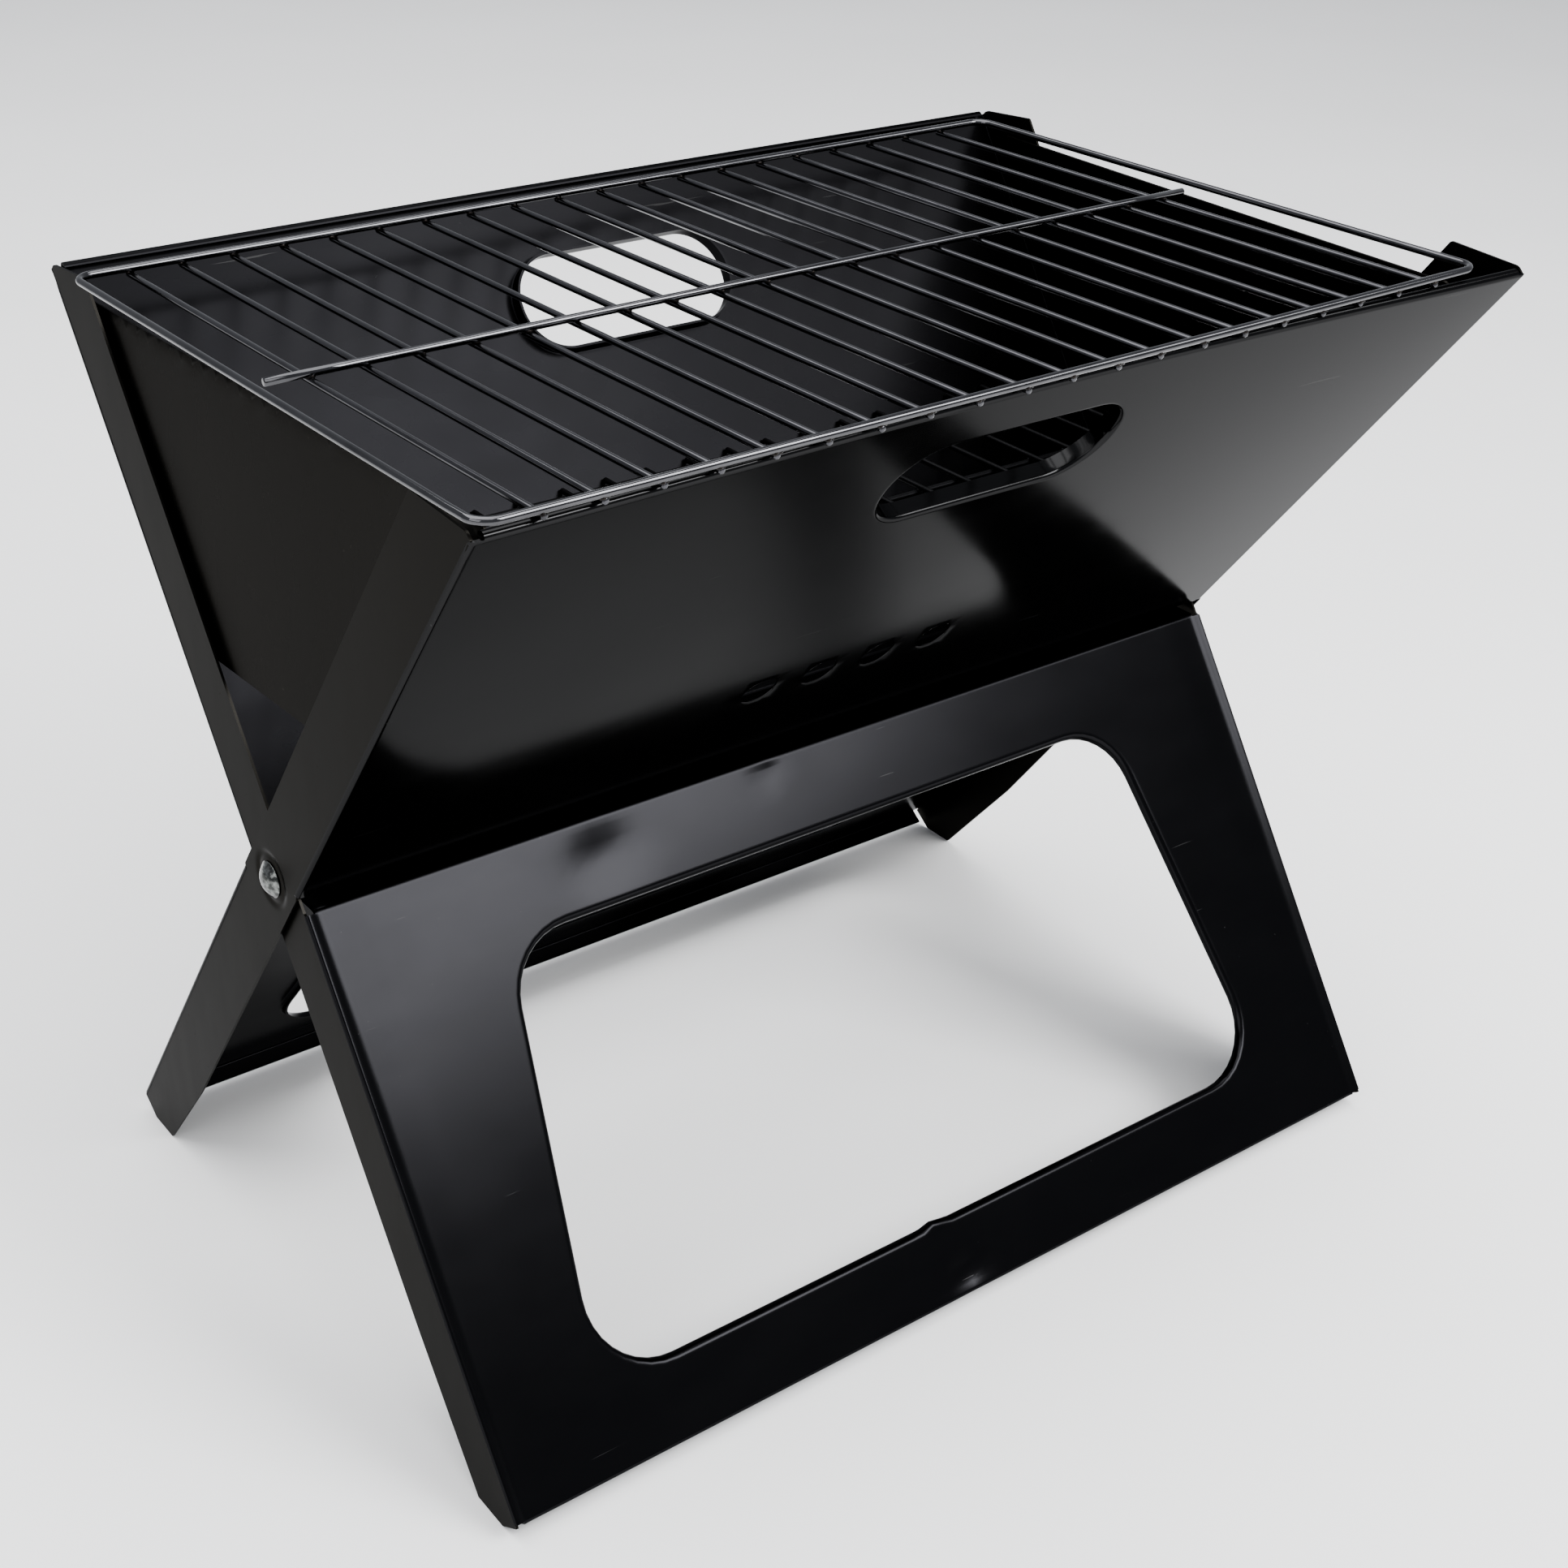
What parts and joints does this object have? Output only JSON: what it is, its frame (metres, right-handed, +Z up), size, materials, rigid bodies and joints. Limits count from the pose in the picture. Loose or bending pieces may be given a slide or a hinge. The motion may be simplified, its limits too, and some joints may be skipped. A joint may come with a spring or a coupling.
{
  "type": "folding camp grill",
  "caption": "Folding charcoal grill: two crossed sheet-steel shells on side pivots, with end plates, a wire cooking rack, a charcoal grate and leg windows.",
  "frame": {"origin": "on the ground, under the middle of the four feet", "axes": "+X along the grill, from its left to its right; +Y from the front to the back; +Z up"},
  "size_m": [0.4574, 0.3054, 0.3835],
  "materials": {
    "black_enamel": "gloss black stove enamel",
    "bright_wire": "bright chromed wire",
    "dark_wire": "dull wire",
    "bolt_steel": "bright zinc plating"
  },
  "bodies": {
    "front_shell": {"front_wall": "black_enamel", "rear_leg_frame": "black_enamel", "outer_strip_left": "black_enamel", "outer_strip_right": "black_enamel", "pivot_bolt_left": "bolt_steel", "pivot_bolt_right": "bolt_steel", "friction_washer_left": "bolt_steel", "friction_washer_right": "bolt_steel", "pivot_washer_left": "bolt_steel", "pivot_washer_right": "bolt_steel", "pivot_nut_left": "bolt_steel", "pivot_nut_right": "bolt_steel"},
    "rear_shell": {"rear_wall": "black_enamel", "front_leg_frame": "black_enamel", "inner_strip_left": "black_enamel", "inner_strip_right": "black_enamel"},
    "left_end_plate": {"end_plate_left": "black_enamel"},
    "right_end_plate": {"end_plate_right": "black_enamel"},
    "cooking_rack": {"rack_frame_wire": "bright_wire", "rack_cross_wires": "bright_wire", "rack_centre_bar": "bright_wire"},
    "charcoal_grate": {"grate_frame_wire": "dark_wire", "grate_cross_wires": "dark_wire", "grate_centre_bar": "dark_wire"}
  },
  "joints": [
    {"name": "shell_fold", "type": "hinge", "parent": "front_shell", "child": "rear_shell", "pos_m": [0, 0, 0.1964], "axis": [1, 0, 0], "range_deg": [0, 70.8]},
    {"name": "left_end_plate_lift", "type": "slide", "parent": "front_shell", "child": "left_end_plate", "axis": [0, -0.4695, 0.8829], "range_m": [0, 0.327]},
    {"name": "right_end_plate_lift", "type": "slide", "parent": "front_shell", "child": "right_end_plate", "axis": [0, -0.4695, 0.8829], "range_m": [0, 0.327]},
    {"name": "cooking_rack_lift", "type": "slide", "parent": "front_shell", "child": "cooking_rack", "axis": [0, -0.4695, 0.8829], "range_m": [0, 0.327]},
    {"name": "charcoal_grate_lift", "type": "slide", "parent": "front_shell", "child": "charcoal_grate", "axis": [0, -0.4695, 0.8829], "range_m": [0, 0.327]}
  ],
  "couplings": [
    {"joint": "left_end_plate_lift", "follows": "shell_fold", "m_per_rad": 0.2636},
    {"joint": "right_end_plate_lift", "follows": "shell_fold", "m_per_rad": 0.2636},
    {"joint": "cooking_rack_lift", "follows": "shell_fold", "m_per_rad": 0.2636},
    {"joint": "charcoal_grate_lift", "follows": "shell_fold", "m_per_rad": 0.2636}
  ]
}
